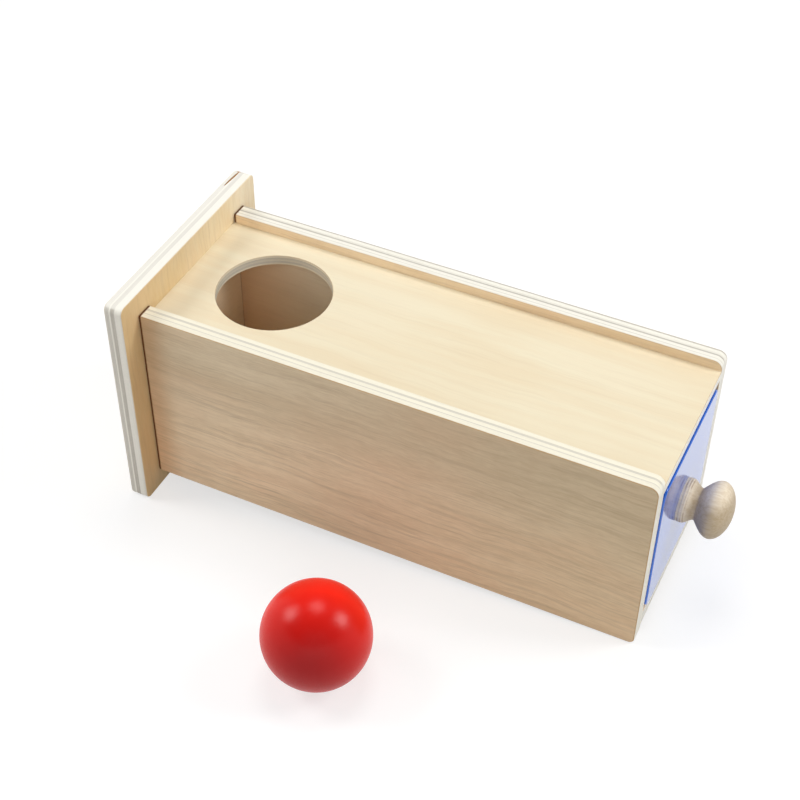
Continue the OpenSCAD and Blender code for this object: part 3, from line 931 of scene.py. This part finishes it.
class MakeKnob(bpy.types.Operator):
    """Turns the knob from its profile"""
    bl_idname = "ball_box.knob"
    bl_label = "Knob"

    def execute(self, context):
        sizes, colours = context.scene.ball_box_knob, context.scene.ball_box_finishes
        low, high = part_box("drawer_knob")
        foot = Vector((low.x, (low.y + high.y) / 2, (low.z + high.z) / 2))
        shape = bmesh.new()
        outline = [(0.0, 0.0)] + knob_outline(sizes, high.x - low.x)
        points = [shape.verts.new(foot + Vector((place, 0, max(radius, 0.0))))
                  for place, radius in outline]
        edges = [shape.edges.new(pair) for pair in zip(points, points[1:])]
        bmesh.ops.spin(shape, geom=points + edges, cent=foot, axis=AXES[X], angle=2 * math.pi,
                       steps=sizes.turns, use_merge=True, use_duplicate=False)
        bmesh.ops.remove_doubles(shape, verts=shape.verts, dist=WELD)
        bmesh.ops.recalc_face_normals(shape, faces=shape.faces)
        shape = cut(shape, grown("knob_screw"))
        lines = [(middle, sizes.line_width) for middle in sizes.lines]
        beech = turned_beech("Turned beech", low, high, colours.knob_pale, colours.knob_deep,
                             seed=5.0, shade=colours.knob_painted_shade, line=colours.knob_line, lines=lines)
        piece("turned_knob", shape, beech, "drawer", ["drawer_knob"])
        return {"FINISHED"}


class MakeBall(bpy.types.Operator):
    """Makes the lacquered wooden ball"""
    bl_idname = "ball_box.ball"
    bl_label = "Ball"

    def execute(self, context):
        colours = context.scene.ball_box_finishes
        low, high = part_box("ball")
        shape = bmesh.new()
        bmesh.ops.create_icosphere(shape, subdivisions=BALL_SPLITS, radius=(high.x - low.x) / 2)
        bmesh.ops.translate(shape, vec=(low + high) / 2, verts=shape.verts)
        lacquer = satin_lacquer("Red lacquer", low, high, colours.red, colours.red_shaded_side, seed=15.0)
        piece("red_ball", shape, lacquer, "ball", ["ball"])
        return {"FINISHED"}


class DressHardware(bpy.types.Operator):
    """Gives the dowels, brads, screw and washer their finishes"""
    bl_idname = "ball_box.hardware"
    bl_label = "Dowels, brads, screw and washer"

    def execute(self, context):
        colours = context.scene.ball_box_finishes
        paler = [min(1.0, 1.12 * part) for part in colours.dowel]
        low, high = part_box("plate_dowels")
        dress(turned_beech("Dowel beech", low, high, paler, colours.dowel, seed=25.0),
              "plate_dowels", "bottom_dowels")
        dress(bright_steel("Bright steel", colours.steel, seed=35.0),
              "drawer_brads", "knob_screw", "knob_washer")
        return {"FINISHED"}


# Stage

def make_floor(studio, sizes, colour):
    """The floor, turned to touch the plate's heel and the side panels' front corners"""
    heel = Vector((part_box("back_plate")[1].x - sizes.ease, 0, 0))
    side_low, side_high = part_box("left_side_panel")
    toe = Vector((side_high.x - sizes.lower_corner, 0, side_low.z + sizes.lower_corner))
    reach = toe - heel
    rise = math.atan2(reach.z, reach.x) - math.asin(sizes.lower_corner / reach.length)
    shape = bmesh.new()
    bmesh.ops.create_grid(shape, x_segments=1, y_segments=1, size=studio.floor_size / 2)
    bmesh.ops.rotate(shape, matrix=Matrix.Rotation(-rise, 3, "Y"), verts=shape.verts)
    bmesh.ops.translate(shape, vec=heel, verts=shape.verts)
    floor = loose_object("floor", shape)

    pale = Finish("Pale floor")
    pale.tree.nodes.remove(pale.surface)
    matt = pale.node("ShaderNodeBsdfDiffuse", (colour,))
    far = pale.measure("LENGTH", pale.place)
    level = pale.step(far, GLOW_START, GLOW_END, studio.floor_glow, 1.0)
    glow = pale.node("ShaderNodeEmission", (WHITE, pale.maths("MULTIPLY", pale.seen(), level)))
    both = pale.node("ShaderNodeAddShader", (matt.outputs[0], glow.outputs[0]))
    pale.fill(pale.found("OUTPUT_MATERIAL"), surface=both.outputs[0])
    floor.data.materials.append(pale.material)


def make_room(studio):
    """The room's own light, which is white low down for what sees it"""
    world = bpy.data.worlds.new("Room")
    world.use_nodes = True
    bpy.context.scene.world = world
    room = NodeTree(world.node_tree)
    towards = room.node("ShaderNodeTexCoord").outputs["Generated"]
    height = room.split(towards)[Z]
    level = room.step(height, SKY_START, SKY_END, studio.horizon, studio.sky)
    white = room.maths("MULTIPLY", room.seen(), room.step(height, WHITE_END, ROOM_START, 1.0, 0.0))
    level = room.step(white, 0.0, 1.0, level, 1.0, kind="LINEAR")
    room.fill(room.found("BACKGROUND"), strength=level, color=WHITE)


def make_lamp(name, towards, watts, width, distance):
    """A square lamp that shines on the middle of the box"""
    light = bpy.data.lights.new(name, "AREA")
    light.shape = "SQUARE"
    light.size = width
    light.energy = watts
    lamp = add_object(name, light)
    lamp.location = (cad_low + cad_high) / 2 + towards.normalized() * distance
    lamp.rotation_euler = towards.to_track_quat("Z", "Y").to_euler()
    return lamp


def make_camera(studio):
    """The camera that the picture is taken with"""
    view = bpy.data.cameras.new("Camera")
    view.lens = studio.lens
    view.sensor_width = SENSOR_WIDTH
    view.clip_start = NEAREST
    view.clip_end = FARTHEST
    camera = add_object("Camera", view)
    camera.location = studio.camera_place
    camera.rotation_euler = studio.camera_turn
    bpy.context.scene.camera = camera


class MakeStage(bpy.types.Operator):
    """Makes the floor, the room's light, the lamps and the camera"""
    bl_idname = "ball_box.stage"
    bl_label = "Stage"

    def execute(self, context):
        studio = context.scene.ball_box_studio
        make_floor(studio, context.scene.ball_box_boards, context.scene.ball_box_finishes.floor)
        make_room(studio)
        width, distance = studio.lamp_size, studio.lamp_distance
        make_lamp("Left lamp", LEFT_LAMP, studio.left_watts, width, distance)
        make_lamp("Back lamp", BACK_LAMP, studio.back_watts, width, distance)
        make_lamp("Right lamp", RIGHT_LAMP, studio.right_watts, width, distance)
        front = make_lamp("Front lamp", FRONT_LAMP, studio.fill_watts, studio.fill_size, distance)
        front.visible_glossy = False
        make_camera(studio)
        context.scene.view_settings.view_transform = "Standard"
        return {"FINISHED"}


class BallBoxPanel(bpy.types.Panel):
    """The ball box's sizes, finishes and pieces"""
    bl_idname = "VIEW3D_PT_ball_box"
    bl_label = "Ball Box"
    bl_space_type = "VIEW_3D"
    bl_region_type = "UI"
    bl_category = "Ball Box"

    def draw(self, context):
        for group in GROUPS:
            settings = getattr(context.scene, group)
            box = self.layout.box()
            for name in settings.bl_rna.properties.keys():
                if name not in ("rna_type", "name"):
                    box.prop(settings, name)
        for operator in OPERATORS:
            self.layout.operator(operator.bl_idname)


GROUPS = {"ball_box_boards": BoardSizes, "ball_box_knob": KnobSizes,
          "ball_box_finishes": Finishes, "ball_box_studio": Studio}
OPERATORS = (MakeBackPlate, MakeSidePanels, MakeTopPanel, MakeBottomPanel, MakeDrawerFront,
             MakeDrawerWalls, MakeDrawerFloor, MakeKnob, MakeBall, DressHardware, MakeStage)
CLASSES = (*GROUPS.values(), *OPERATORS, BallBoxPanel)


def register():
    """Adds the settings, operators and panel"""
    for kind in CLASSES:
        bpy.utils.register_class(kind)
    for name, kind in GROUPS.items():
        setattr(bpy.types.Scene, name, PointerProperty(type=kind))


def unregister():
    """Takes them away again"""
    for name in GROUPS:
        delattr(bpy.types.Scene, name)
    for kind in reversed(CLASSES):
        bpy.utils.unregister_class(kind)


def main():
    """Makes the whole ball box"""
    register()
    bpy.ops.ball_box.back_plate()
    bpy.ops.ball_box.side_panels()
    bpy.ops.ball_box.top_panel()
    bpy.ops.ball_box.bottom_panel()
    bpy.ops.ball_box.drawer_front()
    bpy.ops.ball_box.drawer_walls()
    bpy.ops.ball_box.drawer_floor()
    bpy.ops.ball_box.knob()
    bpy.ops.ball_box.ball()
    bpy.ops.ball_box.hardware()
    bpy.ops.ball_box.stage()


if __name__ == "__main__":
    main()
